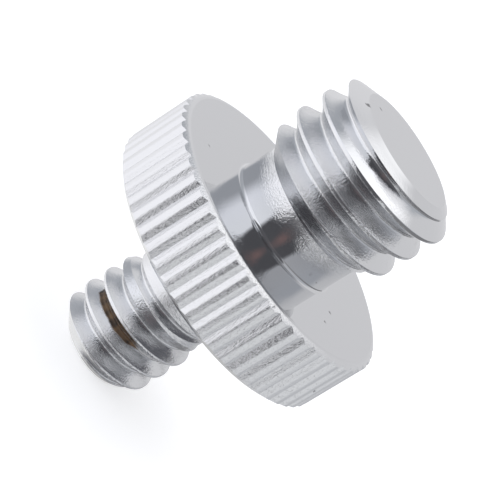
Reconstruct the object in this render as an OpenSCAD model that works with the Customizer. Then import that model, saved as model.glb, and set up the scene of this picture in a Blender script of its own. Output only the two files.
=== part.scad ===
// Thread adapter for tripods and camera supports, turned from one bar and plated bright.
// A large stud points up, a small stud points down, and a knurled flange lies between them.
// The flat end of the small stud is at z = 0, and both studs share the Z axis.

/* [Flange] */
// Diameter over the tips of the knurl's teeth
flange_d = 16.6; // [14:0.1:24]
// Height of the flange, from its lower seat to its upper seat
flange_h = 4.35; // [3:0.05:8]
// Width of the eased edge round the upper seat, measured along the radius
upper_edge_r = 0.5; // [0.3:0.05:0.8]
// Height of the eased edge round the upper seat
upper_edge_h = 0.3; // [0.2:0.05:0.6]
// Chamfer round the lower seat, measured along the radius
lower_chamfer_r = 0.5; // [0.2:0.05:0.8]
// Chamfer round the lower seat, measured along the axis
lower_chamfer_h = 0.35; // [0.2:0.05:0.8]
// Number of teeth in the straight knurl
knurl_teeth = 54; // [36:1:72]
// Depth of the knurl's grooves
knurl_depth = 0.2; // [0.1:0.05:0.3]
// Width of a knurl groove at its mouth
knurl_groove_w = 0.6; // [0.3:0.05:0.65]
// Bearing of the knurl's first groove
knurl_turn = 1.2; // [0:0.1:9.9]

/* [Large stud] */
// Major diameter of the 3/8 inch thread
large_d = 9.49; // [8.5:0.01:11]
// Threads to the inch
large_tpi = 16; // [16:1:24]
// Length of the stud above the upper seat
large_len = 7.7; // [6:0.1:14]
// Length of the plain neck above the upper seat
large_neck_len = 2.1; // [2.05:0.05:3]
// Diameter of the plain neck
large_neck_d = 7.5; // [6.5:0.05:7.5]
// Diameter of the flat face at the stud's end
large_end_d = 6.7; // [5:0.1:7.2]
// Height of the bevel at the stud's end
large_bevel_h = 0.65; // [0.4:0.05:1.2]
// Fillet where the neck meets the upper seat
large_fillet = 0.2; // [0.1:0.05:0.4]
// Bearing at which the thread's crest would leave the upper seat
large_turn = 300; // [0:1:359]

/* [Small stud] */
// Major diameter of the 1/4 inch thread
small_d = 6.32; // [5.9:0.01:8]
// Threads to the inch
small_tpi = 20; // [20:1:28]
// Length of the stud below the lower seat
small_len = 8.2; // [6:0.1:14]
// Length of the neck below the lower seat
small_neck_len = 3.25; // [3:0.05:4]
// Length of the neck that the thread's groove leaves whole
small_plain_len = 2.1; // [1.5:0.05:2.6]
// Diameter of the neck
small_neck_d = 5.6; // [4.5:0.05:5.7]
// Diameter of the flat face at the stud's end
small_end_d = 4.4; // [3.6:0.1:4.8]
// Height of the bevel at the stud's end
small_bevel_h = 0.9; // [0.4:0.05:1.2]
// Fillet where the neck meets the lower seat
small_fillet = 0.2; // [0.1:0.05:0.4]
// Bearing at which the thread's crest would leave the stud's end
small_turn = 6; // [0:1:359]

/* [Hidden] */

inch = 25.4;
large_pitch = inch / large_tpi;
small_pitch = inch / small_tpi;
lower_seat = small_len;
upper_seat = lower_seat + flange_h;
top = upper_seat + large_len;

// Thread form, in parts of the pitch: a Unified V whose flanks ease into a rounded root
crest_flat = 1 / 8;
thread_depth = 0.53;
root_turn_depth = 0.4;
root_flat = 0.1;
flank_angle = 32;
// Part of the eased edge's height that its inner half takes
edge_step = 0.27;

// Straight steps in one turn of a thread
steps = 40;
// Points in a fillet
fillet_steps = 4;
// How far a cutter reaches past the metal that it cuts
spare = 0.1;

// Corner of a fillet that joins a neck to a seat; rise is 1 above the seat and -1 below it
function neck_fillet(neck_r, seat, size, rise) = [
    for (i = [0 : fillet_steps])
        let (a = 90 * i / fillet_steps)
        [neck_r + size - size * sin(a), seat + rise * (size - size * cos(a))]
];

// Section of a thread's groove as [radius, height], round the root from one outer edge to the other
function groove_section(major_r, pitch) =
    let (
        half_mouth = pitch * (1 - crest_flat) / 2,
        past = pitch * crest_flat / 2,
        slope = tan(flank_angle),
        turn_depth = pitch * root_turn_depth,
        turn_half = half_mouth - turn_depth * slope,
        root_half = pitch * root_flat / 2,
        upper = [
            [major_r - pitch * thread_depth, root_half],
            [major_r - turn_depth, turn_half],
            [major_r + past, half_mouth + past * slope]
        ]
    )
    concat([for (i = [2 : -1 : 0]) [upper[i].x, -upper[i].y]], upper);

// A groove of one thread, swept round the axis between two heights.
// turn is the bearing at which the crest beside it passes z = zero_z.
// Over the last fade of height the cutter draws back, until the groove has left the metal.
module thread_groove(major_r, pitch, from_z, to_z, zero_z, turn, fade = 0) {
    section = groove_section(major_r, pitch);
    depth = pitch * thread_depth;
    n = len(section);
    count = ceil((to_z - from_z) / pitch * steps);
    start = turn + 180 + 360 * (from_z - zero_z) / pitch;
    points = [
        for (i = [0 : count])
            let (
                a = start + 360 * i / steps,
                z = from_z + pitch * i / steps,
                lift = fade > 0 ? depth * max(0, 1 - (to_z - z) / fade) : 0
            )
            for (p = section)
                [(p.x + lift) * cos(a), (p.x + lift) * sin(a), z + p.y]
    ];
    walls = [
        for (i = [0 : count - 1])
            for (j = [0 : n - 1])
                let (a = i * n + j, b = i * n + (j + 1) % n)
                each [[a, b + n, b], [a, a + n, b + n]]
    ];
    first_cap = [for (j = [0 : n - 1]) j];
    last_cap = [for (j = [n - 1 : -1 : 0]) count * n + j];
    polyhedron(points, concat(walls, [first_cap, last_cap]), convexity = 10);
}

// Both studs as they leave the lathe, before the threads are cut
module turned_studs() {
    large_r = large_d / 2;
    large_neck_r = large_neck_d / 2;
    small_r = small_d / 2;
    small_neck_r = small_neck_d / 2;
    lower_fillet = neck_fillet(small_neck_r, lower_seat, small_fillet, -1);
    rotate_extrude($fn = 96)
        polygon(concat(
            [
                [0, 0],
                [small_end_d / 2, 0],
                [small_r, small_bevel_h],
                [small_r, lower_seat - small_neck_len - 2 * (small_r - small_neck_r)],
                [small_neck_r, lower_seat - small_neck_len]
            ],
            [for (i = [fillet_steps : -1 : 0]) lower_fillet[i]],
            neck_fillet(large_neck_r, upper_seat, large_fillet, 1),
            [
                [large_neck_r, upper_seat + large_neck_len],
                [large_r, upper_seat + large_neck_len + (large_r - large_neck_r)],
                [large_r, top - large_bevel_h],
                [large_end_d / 2, top],
                [0, top]
            ]
        ));
}

// Outline of the knurl: open V grooves with narrow flats left between them
module knurl_outline() {
    tip_r = flange_d / 2;
    root_r = tip_r - knurl_depth;
    tooth = 360 / knurl_teeth;
    half_groove = asin(knurl_groove_w / 2 / tip_r);
    polygon([
        for (i = [0 : knurl_teeth - 1])
            each [
                let (a = knurl_turn + i * tooth - half_groove) [tip_r * cos(a), tip_r * sin(a)],
                let (a = knurl_turn + i * tooth) [root_r * cos(a), root_r * sin(a)],
                let (a = knurl_turn + i * tooth + half_groove) [tip_r * cos(a), tip_r * sin(a)]
            ]
    ]);
}

// The knurled disc, trimmed by the chamfer and the eased edge turned on it
module knurled_flange() {
    tip_r = flange_d / 2;
    lower_slope = lower_chamfer_h / lower_chamfer_r;
    upper_slope = 2 * (1 - edge_step) * upper_edge_h / upper_edge_r;
    intersection() {
        translate([0, 0, lower_seat - spare])
            linear_extrude(flange_h + 2 * spare)
                knurl_outline();
        rotate_extrude($fn = 96)
            polygon([
                [0, lower_seat],
                [tip_r - lower_chamfer_r, lower_seat],
                [tip_r + spare, lower_seat + lower_chamfer_h + spare * lower_slope],
                [tip_r + spare, upper_seat - upper_edge_h - spare * upper_slope],
                [tip_r - upper_edge_r / 2, upper_seat - upper_edge_h * edge_step],
                [tip_r - upper_edge_r, upper_seat],
                [0, upper_seat]
            ]);
    }
}

module adapter() {
    color("silver")
    difference() {
        union() {
            turned_studs();
            knurled_flange();
        }
        thread_groove(
            large_d / 2, large_pitch,
            upper_seat + large_neck_len / 2, top + large_pitch,
            upper_seat, large_turn
        );
        thread_groove(
            small_d / 2, small_pitch,
            -small_pitch, lower_seat - small_plain_len,
            0, small_turn, small_pitch / 2
        );
    }
}

adapter();
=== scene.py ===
import bmesh
import bpy
import math
from mathutils import Matrix, Vector


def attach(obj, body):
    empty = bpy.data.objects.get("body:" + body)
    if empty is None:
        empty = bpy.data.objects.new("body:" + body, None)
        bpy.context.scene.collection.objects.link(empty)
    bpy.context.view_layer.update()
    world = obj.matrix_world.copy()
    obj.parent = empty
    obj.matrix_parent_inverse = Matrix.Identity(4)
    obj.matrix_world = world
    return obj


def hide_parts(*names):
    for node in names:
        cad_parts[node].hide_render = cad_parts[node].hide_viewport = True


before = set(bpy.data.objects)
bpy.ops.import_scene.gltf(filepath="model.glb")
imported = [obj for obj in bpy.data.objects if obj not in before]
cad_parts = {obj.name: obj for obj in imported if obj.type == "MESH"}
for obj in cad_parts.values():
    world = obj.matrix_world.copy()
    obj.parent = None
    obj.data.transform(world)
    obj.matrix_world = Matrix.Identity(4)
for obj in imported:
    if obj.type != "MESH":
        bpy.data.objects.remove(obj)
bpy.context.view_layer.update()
scene = bpy.context.scene

# Adapter: one turned and plated metal piece. It is shaped in millimetres in three closed parts,
# the knurled flange with both necks, the large stud and the small stud, which are then welded
# along the rings where they meet.
lower_seat = 8.2
upper_seat = lower_seat + 4.35
top = upper_seat + 7.7
large_r = 9.49 / 2
small_r = 6.32 / 2
large_pitch = 25.4 / 16
small_pitch = 25.4 / 20
large_neck_r = 3.75
small_neck_r = 2.8
flange_r = 8.3


def new_object(name, bm):
    mesh = bpy.data.meshes.new(name)
    bmesh.ops.recalc_face_normals(bm, faces=bm.faces)
    bm.to_mesh(mesh)
    bm.free()
    made = bpy.data.objects.new(name, mesh)
    scene.collection.objects.link(made)
    return made


def turned(name, profile):
    """A closed solid turned from its outline, which starts and ends on the axis."""
    bm = bmesh.new()
    points = [bm.verts.new((r, 0, z)) for r, z in profile]
    edges = [bm.edges.new(pair) for pair in zip(points, points[1:])]
    bmesh.ops.spin(bm, geom=points + edges, cent=(0, 0, 0), axis=(0, 0, 1),
                   angle=math.tau, steps=192, use_merge=True)
    bmesh.ops.remove_doubles(bm, verts=bm.verts, dist=1e-5)
    return new_object(name, bm)


def screw(name, major_r, pitch, crest_z, crest_turn, low, high, fade_end=None):
    """A closed solid with a helical 60 degree thread all over it.
    The crest passes height crest_z at the bearing crest_turn, in degrees."""
    steps = 120
    thread_depth = 0.53 * pitch
    rounding, rounding_width = 0.045, 0.026
    # Outline of one pitch, from the middle of a crest to the middle of the next. The slope turns
    # from 0 on the crest to 60 degrees, eases to 48 down the flank, and back to 0 in the root
    z, r = pitch / 16 - rounding_width, major_r
    half = [(0, r), (z, r)]
    arcs = [(0, 60, rounding, 4), (60, 48, -2.83 * pitch, 3), (48, 0, None, 4)]
    for from_slope, to_slope, radius, cuts in arcs:
        from_slope, to_slope = math.radians(from_slope), math.radians(to_slope)
        # The last arc takes the radius that brings it to the middle of the groove
        if radius is None:
            radius = -(pitch / 2 - z) / math.sin(from_slope)
        for i in range(1, cuts + 1):
            a = from_slope + (to_slope - from_slope) * i / cuts
            b = from_slope + (to_slope - from_slope) * (i - 1) / cuts
            z += radius * (math.sin(a) - math.sin(b))
            r += radius * (math.cos(a) - math.cos(b))
            half.append((z, r))
    outline = half + [(pitch - z, r) for z, r in reversed(half[:-1])]

    bm = bmesh.new()
    start = math.radians(crest_turn) + math.tau * (low - crest_z) / pitch
    points = [bm.verts.new((r * math.cos(start), r * math.sin(start), low + z)) for z, r in outline]
    edges = [bm.edges.new(pair) for pair in zip(points, points[1:])]
    count = math.ceil((high - low) / pitch * steps)
    bmesh.ops.spin(bm, geom=points + edges, cent=(0, 0, 0), axis=(0, 0, 1), dvec=(0, 0, pitch / steps),
                   angle=math.tau * count / steps, steps=count)
    bmesh.ops.remove_doubles(bm, verts=bm.verts, dist=1e-4)
    # Over its last half turn the groove draws back out of the metal
    if fade_end is not None:
        for v in bm.verts:
            turn = math.atan2(v.co.y, v.co.x) - math.radians(crest_turn)
            crest_here = crest_z + pitch * turn / math.tau
            groove_z = crest_here + pitch * (math.floor((v.co.z - crest_here) / pitch) + 0.5)
            lift = thread_depth * max(0, 1 - (fade_end - groove_z) / (pitch / 2))
            scale = 1 + lift / math.hypot(v.co.x, v.co.y)
            v.co.x *= scale
            v.co.y *= scale
    # Both ends are closed by a fan to the axis
    middle = (low + high + pitch) / 2
    for at_low_end in (True, False):
        rim = [e for e in bm.edges if e.is_boundary and (e.verts[0].co.z < middle) == at_low_end]
        fan = bmesh.ops.extrude_edge_only(bm, edges=rim)
        tips = [g for g in fan["geom"] if isinstance(g, bmesh.types.BMVert)]
        height = sum(v.co.z for v in tips) / len(tips)
        bmesh.ops.pointmerge(bm, verts=tips, merge_co=(0, 0, height))
    return new_object(name, bm)


def common(blank, other):
    """Keeps of the blank only what also lies in the other solid."""
    trim = blank.modifiers.new("trim", "BOOLEAN")
    trim.operation = "INTERSECT"
    trim.solver = "MANIFOLD"
    trim.object = other
    depsgraph = bpy.context.evaluated_depsgraph_get()
    mesh = bpy.data.meshes.new_from_object(blank.evaluated_get(depsgraph))
    for used in (blank, other):
        bpy.data.objects.remove(used)
    return mesh


# Flange with both necks, which meet the studs at the heights of the two joins. Its blank reaches
# a little past the knurl's teeth, with a chamfer below and an eased edge above
large_join = upper_seat + 1.2
small_join = lower_seat - 1.0
fillet = 0.2
chamfer_r, chamfer_h = 0.5, 0.35
past_teeth = 0.1
arc = [math.radians(15 * i) for i in range(7)]
lower_fillet = [(small_neck_r + fillet * (1 - math.cos(a)), lower_seat - fillet * (1 - math.sin(a)))
                for a in arc]
upper_fillet = [(large_neck_r + fillet * (1 - math.sin(a)), upper_seat + fillet * (1 - math.cos(a)))
                for a in arc]
# The eased edge, as distances in from the teeth's tips and down from the seat
upper_edge = [(-past_teeth, 0.4), (0, 0.24), (0.1, 0.166), (0.2, 0.106), (0.3, 0.058), (0.4, 0.022), (0.5, 0)]
flange_blank = turned("flange_blank", [
    (0, small_join),
    (small_neck_r, small_join),
    *lower_fillet,
    (flange_r - chamfer_r, lower_seat),
    (flange_r + past_teeth, lower_seat + chamfer_h + past_teeth * chamfer_h / chamfer_r),
    *[(flange_r - inward, upper_seat - down) for inward, down in upper_edge],
    *upper_fillet,
    (large_neck_r, large_join),
    (0, large_join)])

# Knurl: a prism that cuts the flange's teeth. Half a groove is given from its middle outwards, as
# widths along the rim and depths below it, a little rounded at the bottom and at the tooth's edge
teeth = 54
first_groove = math.radians(1.2)
prism_reach = 1
half_groove = [(0, 0.19), (0.03, 0.176), (0.2, 0.066), (0.25, 0.037), (0.3, 0.016), (0.34, 0.005), (0.38, 0)]
groove = [(-width, depth) for width, depth in reversed(half_groove[1:])] + half_groove
bm = bmesh.new()
rim = []
for k in range(teeth):
    for width, depth in groove:
        a = first_groove + k * math.tau / teeth + width / flange_r
        r = flange_r - depth
        rim.append(bm.verts.new((r * math.cos(a), r * math.sin(a), small_join - prism_reach)))
bm.faces.new(rim)
prism = bmesh.ops.extrude_face_region(bm, geom=bm.faces[:])
bmesh.ops.translate(bm, verts=[g for g in prism["geom"] if isinstance(g, bmesh.types.BMVert)],
                    vec=(0, 0, large_join - small_join + 2 * prism_reach))
knurl = new_object("knurl", bm)
flange_mesh = common(flange_blank, knurl)

# Large stud: blank with the cone that leaves the neck and the bevel at the end, cut to the thread.
# The blank is a little wider than the thread's crest
wider = 0.02
large_neck_end = upper_seat + 2.1
large_end_r, large_bevel_h = 3.35, 0.64
large_blank = turned("large_blank", [
    (0, large_join),
    (large_neck_r, large_join),
    (large_neck_r, large_neck_end),
    (large_r + wider, large_neck_end + large_r + wider - large_neck_r),
    (large_r + wider, top - large_bevel_h),
    (large_end_r, top),
    (0, top)])
large_screw = screw("large_screw", large_r, large_pitch, crest_z=upper_seat, crest_turn=300,
                    low=upper_seat - 1, high=top + 2)
large_mesh = common(large_blank, large_screw)

# Small stud: the same, with a groove that runs out into the thicker neck
small_neck_end = lower_seat - 3.25
small_plain_end = lower_seat - 2.1
small_end_r, small_bevel_h = 2.2, 0.92
small_blank = turned("small_blank", [
    (0, 0),
    (small_end_r, 0),
    (small_r + wider, small_bevel_h),
    (small_r + wider, small_neck_end - 2 * (small_r + wider - small_neck_r)),
    (small_neck_r, small_neck_end),
    (small_neck_r, small_join),
    (0, small_join)])
small_screw = screw("small_screw", small_r, small_pitch, crest_z=0, crest_turn=6,
                    low=-3, high=small_join + 2, fade_end=small_plain_end)
small_mesh = common(small_blank, small_screw)

# The three parts are joined without the discs between them, and scaled to metres
bm = bmesh.new()
for mesh in (flange_mesh, large_mesh, small_mesh):
    bm.from_mesh(mesh)
    bpy.data.meshes.remove(mesh)
discs = [f for f in bm.faces for join in (large_join, small_join)
         if all(abs(v.co.z - join) < 1e-4 for v in f.verts)]
bmesh.ops.delete(bm, geom=discs, context="FACES")
bmesh.ops.remove_doubles(bm, verts=bm.verts, dist=1e-3)
bmesh.ops.scale(bm, vec=(0.001, 0.001, 0.001), verts=bm.verts)
adapter = new_object("adapter_body", bm)
adapter.data.shade_smooth()
adapter.data.set_sharp_from_angle(angle=math.radians(18))
shading = adapter.modifiers.new("shading", "WEIGHTED_NORMAL")
shading.keep_sharp = True
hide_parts("adapter")
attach(adapter, "root")


def new_material(name):
    made = bpy.data.materials.new(name)
    made.use_nodes = True
    return made, made.node_tree.nodes, made.node_tree.links


# Bright plating over turned metal: smooth on the flat faces, the bevels and the seats, with fine
# rings and grain in the threads and on the necks beside them, and streaks along the knurl. The
# functions below add their nodes to the tree that nodes and links stand for at the time
plating, nodes, links = new_material("bright_plating")
metal = nodes["Principled BSDF"]


def math_node(operation, *values):
    """A math node whose inputs are numbers or sockets."""
    made = nodes.new("ShaderNodeMath")
    made.operation = operation
    for slot, value in zip(made.inputs, values):
        if isinstance(value, (int, float)):
            slot.default_value = value
        else:
            links.new(value, slot)
    return made.outputs[0]


def axes(vector):
    """The three parts of a vector."""
    made = nodes.new("ShaderNodeSeparateXYZ")
    links.new(vector, made.inputs["Vector"])
    return made.outputs["X"], made.outputs["Y"], made.outputs["Z"]


def distance(vector, spot):
    made = nodes.new("ShaderNodeVectorMath")
    made.operation = "DISTANCE"
    made.inputs[1].default_value = spot
    links.new(vector, made.inputs[0])
    return made.outputs["Value"]


def smooth_step(value, start, end, low=0, high=1):
    """Goes smoothly from low to high as the value goes from start to end."""
    made = nodes.new("ShaderNodeMapRange")
    made.interpolation_type = "SMOOTHSTEP"
    links.new(value, made.inputs["Value"])
    for name, number in (("From Min", start), ("From Max", end), ("To Min", low), ("To Max", high)):
        made.inputs[name].default_value = number
    return made.outputs["Result"]


def noise(vector, scale, detail=2.0, rough=0.5):
    made = nodes.new("ShaderNodeTexNoise")
    made.inputs["Scale"].default_value = scale
    made.inputs["Detail"].default_value = detail
    made.inputs["Roughness"].default_value = rough
    links.new(vector, made.inputs["Vector"])
    return made.outputs["Fac"]


def bump(height, deepest, normal=None):
    made = nodes.new("ShaderNodeBump")
    made.inputs["Strength"].default_value = 1
    made.inputs["Distance"].default_value = deepest
    links.new(height, made.inputs["Height"])
    if normal is not None:
        links.new(normal, made.inputs["Normal"])
    return made.outputs["Normal"]


def ramp(value, stops, interpolation="LINEAR"):
    """Colour by value, through stops of a position and a colour. The lowest and the highest stop
    come first."""
    made = nodes.new("ShaderNodeValToRGB")
    made.color_ramp.interpolation = interpolation
    elements = made.color_ramp.elements
    for i, (position, colour) in enumerate(stops):
        stop = elements[i] if i < 2 else elements.new(position)
        stop.position = position
        stop.color = (*colour, 1)
    links.new(value, made.inputs["Fac"])
    return made.outputs["Color"]


def mixed(factor, first, second):
    """Mixes two colours, which are numbers or sockets."""
    made = nodes.new("ShaderNodeMix")
    made.data_type = "RGBA"
    links.new(factor, made.inputs["Factor"])
    for name, colour in (("A", first), ("B", second)):
        if isinstance(colour, tuple):
            made.inputs[name].default_value = (*colour, 1)
        else:
            links.new(colour, made.inputs[name])
    return made.outputs["Result"]


place = nodes.new("ShaderNodeTexCoord").outputs["Object"]
x, y, z = axes(place)
radius = math_node("SQRT", math_node("ADD", math_node("MULTIPLY", x, x), math_node("MULTIPLY", y, y)))

# Rings left by the tool are noise that changes with radius and height and barely round the axis.
# The grain has no direction, and the patches set how strong both are
rings_at = nodes.new("ShaderNodeCombineXYZ")
links.new(math_node("MULTIPLY", x, 0.03), rings_at.inputs["X"])
links.new(math_node("MULTIPLY", y, 0.03), rings_at.inputs["Y"])
links.new(math_node("ADD", z, math_node("MULTIPLY", radius, 0.7)), rings_at.inputs["Z"])
rings = noise(rings_at.outputs["Vector"], 9000, 3, 0.6)
grain = noise(place, 10000, 2, 0.6)
patches = noise(place, 900)

# Where the surface is coarse, by places in metres: in the threads and on the necks beside them,
# hardly on the flat faces and bevels
stud = smooth_step(radius, 0.0050, 0.0048)
above = math_node("MULTIPLY", smooth_step(z, 0.0130, 0.0144), smooth_step(z, 0.0190, 0.0183, 0.25, 1))
below = smooth_step(z, 0.0078, 0.0060)
off_ends = math_node("MULTIPLY", smooth_step(z, 0.0001, 0.0002), smooth_step(z, 0.0202, 0.0200))
coarse = math_node("MULTIPLY", math_node("MULTIPLY", stud, math_node("ADD", above, below)), off_ends)
coarse = math_node("MULTIPLY", coarse, smooth_step(patches, 0.35, 0.65, 0.5, 1))
normal = bump(math_node("MULTIPLY", rings, coarse), 0.000008)
normal = bump(math_node("MULTIPLY", grain, coarse), 0.000026, normal)

# Streaks on the knurl are noise drawn out along the axis
knurled = math_node("MULTIPLY", smooth_step(radius, 0.0079, 0.0080), 0.7)
streaks_at = nodes.new("ShaderNodeVectorMath")
streaks_at.operation = "MULTIPLY"
streaks_at.inputs[1].default_value = (1, 1, 0.3)
links.new(place, streaks_at.inputs[0])
streaks = noise(streaks_at.outputs["Vector"], 11000, 3, 0.7)
normal = bump(math_node("MULTIPLY", streaks, knurled), 0.00003, normal)
links.new(normal, metal.inputs["Normal"])

# Dried residue in the small thread's second groove, along its root on the front left. The root
# climbs one pitch a turn and passes root_height at bearing 0
root_height = 0.003154
turn = math_node("ARCTAN2", y, x)
root = math_node("MULTIPLY_ADD", turn, small_pitch / 1000 / math.tau, root_height)
off_root = math_node("ABSOLUTE", math_node("SUBTRACT", z, root))
stretch = math_node("MULTIPLY", smooth_step(turn, math.radians(-165), math.radians(-150)),
                    smooth_step(turn, math.radians(-55), math.radians(-80)))
half_width = math_node("MULTIPLY_ADD", noise(place, 1500), 0.00012, 0.00014)
past_edge = math_node("SUBTRACT", off_root, math_node("MULTIPLY", half_width, stretch))
residue = math_node("MULTIPLY", smooth_step(past_edge, 0.00004, -0.00004), stud)
soil = ramp(noise(place, 1800), [(0.35, (0.03, 0.022, 0.02)), (0.55, (0.17, 0.105, 0.055))])

# Specks and nicks, by place and size in millimetres: three on the seat, three by the end face's
# edge, three on the knurl. The grain makes their edges ragged
specks = 0
for spot, size in [((4.9, -1.09, 12.55), 0.09), ((5.09, -2.58, 12.55), 0.07), ((-5.53, -3.18, 12.55), 0.06),
                   ((-2.48, -0.09, 20.25), 0.11), ((-2.92, -1.76, 20.2), 0.14), ((-3.6, -1.8, 20.1), 0.08),
                   ((7.83, -2.61, 10.07), 0.12), ((7.75, -2.82, 8.68), 0.1), ((2.96, -7.7, 12.49), 0.12)]:
    ragged = math_node("MULTIPLY_ADD", grain, 0.0003, distance(place, [v / 1000 for v in spot]))
    mark = smooth_step(ragged, (size + 0.2) / 1000, (size + 0.1) / 1000)
    specks = math_node("MAXIMUM", specks, mark)

bright = mixed(specks, (0.72, 0.725, 0.735), (0.22, 0.22, 0.225))
links.new(mixed(residue, bright, soil), metal.inputs["Base Color"])
links.new(math_node("SUBTRACT", 1, residue), metal.inputs["Metallic"])
polish = math_node("MULTIPLY_ADD", coarse, 0.05, 0.045)
links.new(math_node("MAXIMUM", polish, math_node("MULTIPLY", residue, 0.55)), metal.inputs["Roughness"])
adapter.data.materials.append(plating)

# Floor: plain and pale. It gives the camera a little light of its own, so that it reads as white
# round the shadow
bm = bmesh.new()
bmesh.ops.create_grid(bm, x_segments=1, y_segments=1, size=0.6)
floor = new_object("floor", bm)
floor.visible_glossy = False
paint, nodes, links = new_material("floor_paint")
chalk = nodes["Principled BSDF"]
chalk.inputs["Base Color"].default_value = (0.85, 0.85, 0.85, 1)
chalk.inputs["Roughness"].default_value = 1
chalk.inputs["Specular IOR Level"].default_value = 0
chalk.inputs["Emission Color"].default_value = (1, 1, 1, 1)
seen = nodes.new("ShaderNodeLightPath").outputs["Is Camera Ray"]
links.new(math_node("MULTIPLY", seen, 0.5), chalk.inputs["Emission Strength"])
floor.data.materials.append(paint)

# Studio: a light tent, white on the left and above, grey on the right, and plain white where the
# camera sees it. What a reflection meets depends on its bearing, from -180 to 180 degrees with
# the front at 0 and the left below 0, and on its height
world = bpy.data.worlds.new("studio")
scene.world = world
world.use_nodes = True
nodes, links = world.node_tree.nodes, world.node_tree.links
sideways, backwards, upwards = axes(nodes.new("ShaderNodeTexCoord").outputs["Generated"])
bearing = math_node("ARCTAN2", sideways, math_node("MULTIPLY", backwards, -1))
part_of_round = math_node("MULTIPLY_ADD", bearing, 1 / math.tau, 0.5)


def tent_band(stops):
    """Brightness of the tent by bearing in degrees, for one range of heights."""
    return ramp(part_of_round, [((degrees + 180) / 360, colour) for degrees, colour in stops], "EASE")


def blend_by_height(lower, upper, low, high):
    """Mixes two bands between two heights, given as sines of the angle over the horizon."""
    return mixed(smooth_step(upwards, low, high), lower, upper)


# The ground band is partly painted shadow. Its dark right part stands for the table in the object's contact
# shadow, as reflections see it, since the floor is hidden from them. Its bright left part is the tent's light
ground_with_painted_shadow = tent_band([(-180, (0.95, 0.95, 0.95)), (180, (0.6, 0.6, 0.6)), (-80, (1.3, 1.3, 1.33)),
                    (-30, (1.0, 1.0, 1.02)), (10, (0.2, 0.2, 0.22)), (120, (0.18, 0.18, 0.2))])
floor_side = tent_band([(-180, (0.7, 0.7, 0.72)), (180, (0.7, 0.7, 0.72)), (-150, (0.95, 0.95, 0.97)),
                        (-70, (1.2, 1.2, 1.25)), (-35, (1.2, 1.2, 1.25)), (0, (0.75, 0.75, 0.77)),
                        (45, (0.88, 0.89, 0.91)), (85, (0.85, 0.86, 0.88)), (120, (0.6, 0.61, 0.64)),
                        (150, (0.55, 0.56, 0.58))])
walls = tent_band([(-180, (0.73, 0.73, 0.75)), (180, (0.73, 0.73, 0.75)), (-158, (0.85, 0.85, 0.87)),
                   (-142, (0.46, 0.48, 0.52)), (-105, (0.48, 0.5, 0.54)), (-70, (1.1, 1.12, 1.2)),
                   (-35, (1.1, 1.12, 1.18)), (50, (0.5, 0.51, 0.54)), (105, (0.5, 0.52, 0.56)),
                   (128, (0.76, 0.76, 0.78))])
roof = tent_band([(-180, (1.4, 1.4, 1.42)), (180, (1.4, 1.4, 1.42)), (-75, (1.3, 1.31, 1.36)),
                  (-10, (0.6, 0.6, 0.63)), (60, (0.5, 0.5, 0.54)), (110, (1.1, 1.1, 1.13)),
                  (135, (1.6, 1.6, 1.62))])
tone = blend_by_height(ground_with_painted_shadow, floor_side, -0.5, -0.36)
tone = blend_by_height(tone, walls, -0.3, 0.0)
tone = blend_by_height(tone, roof, 0.75, 0.95)
seen = nodes.new("ShaderNodeLightPath").outputs["Is Camera Ray"]
links.new(mixed(seen, tone, (1, 1, 1)), nodes["Background"].inputs["Color"])


def only_reflected(card):
    """Lets a card of the studio show in reflections and nowhere else."""
    card.visible_camera = False
    card.visible_diffuse = False
    card.visible_shadow = False


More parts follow.
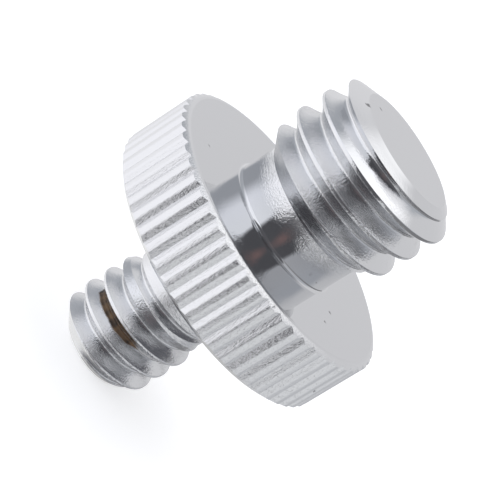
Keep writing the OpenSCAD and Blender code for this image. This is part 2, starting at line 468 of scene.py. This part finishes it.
# Slit: the dark gap in the tent's front, with the reddish lens of the camera in it. Its left and
# right edges lean, and it fades out at its foot
slit_y = -0.1
bm = bmesh.new()
bmesh.ops.create_grid(bm, x_segments=1, y_segments=1, size=0.5)
bmesh.ops.rotate(bm, verts=bm.verts, cent=(0, 0, 0), matrix=Matrix.Rotation(math.pi / 2, 3, "X"))
bmesh.ops.translate(bm, verts=bm.verts, vec=(0, slit_y, 0))
slit = new_object("slit", bm)
only_reflected(slit)
gap, nodes, links = new_material("gap")
nodes.clear()
on_slit = nodes.new("ShaderNodeTexCoord").outputs["Object"]
across, _, height = axes(on_slit)
left_edge = smooth_step(math_node("MULTIPLY_ADD", height, 0.37, across), -0.039, -0.021)
right_edge = smooth_step(math_node("MULTIPLY_ADD", height, -0.4, across), 0.08, 0.056)
foot = smooth_step(height, -0.028, -0.0175)
cover = math_node("MULTIPLY", math_node("MULTIPLY", left_edge, right_edge), foot)
from_lens = distance(on_slit, (0.022, slit_y, 0.045))
dark = nodes.new("ShaderNodeEmission")
links.new(ramp(from_lens, [(0, (0.3, 0.19, 0.18)), (0.02, (0.11, 0.11, 0.12))]), dark.inputs["Color"])
clear = nodes.new("ShaderNodeBsdfTransparent")
covered = nodes.new("ShaderNodeMixShader")
links.new(cover, covered.inputs["Fac"])
links.new(clear.outputs[0], covered.inputs[1])
links.new(dark.outputs[0], covered.inputs[2])
links.new(covered.outputs[0], nodes.new("ShaderNodeOutputMaterial").inputs["Surface"])
slit.data.materials.append(gap)

# Low card: a grey card at the right of the small stud, below the flange. It is painted shade: in reflections
# it stands for the floor lying in the flange's shade beside the small stud
bm = bmesh.new()
bmesh.ops.create_grid(bm, x_segments=1, y_segments=1, size=0.5)
bmesh.ops.scale(bm, vec=(0.015, 0.12, 1), verts=bm.verts)
bmesh.ops.rotate(bm, verts=bm.verts, cent=(0, 0, 0), matrix=Matrix.Rotation(math.pi / 2, 3, "Y"))
bmesh.ops.translate(bm, verts=bm.verts, vec=(0.04, 0.012, 0.0115))
low_shade_card = new_object("low_shade_card", bm)
only_reflected(low_shade_card)
grey, nodes, links = new_material("shade_card_grey")
nodes.clear()
shade = nodes.new("ShaderNodeEmission")
# Painted shade: the grey that the shaded floor shows in reflections
shade.inputs["Color"].default_value = (0.25, 0.25, 0.26, 1)
links.new(shade.outputs[0], nodes.new("ShaderNodeOutputMaterial").inputs["Surface"])
low_shade_card.data.materials.append(grey)

# Camera: the photograph's viewing angle, with the object leaning to the right in the frame
camera = bpy.data.objects.new("camera", bpy.data.cameras.new("camera"))
scene.collection.objects.link(camera)
camera.data.lens = 152.2
camera.data.sensor_width = 36
camera.data.clip_start = 0.01
right = Vector((0.53346, 0.27154, 0.80106))
up = Vector((-0.84583, 0.17126, 0.50522))
back = Vector((0, -0.94707, 0.32103))
turned_to = Matrix((right, up, back)).transposed().to_4x4()
camera.matrix_world = Matrix.Translation((0.000007, -0.10374, 0.04551)) @ turned_to
scene.camera = camera
scene.view_settings.view_transform = "Standard"
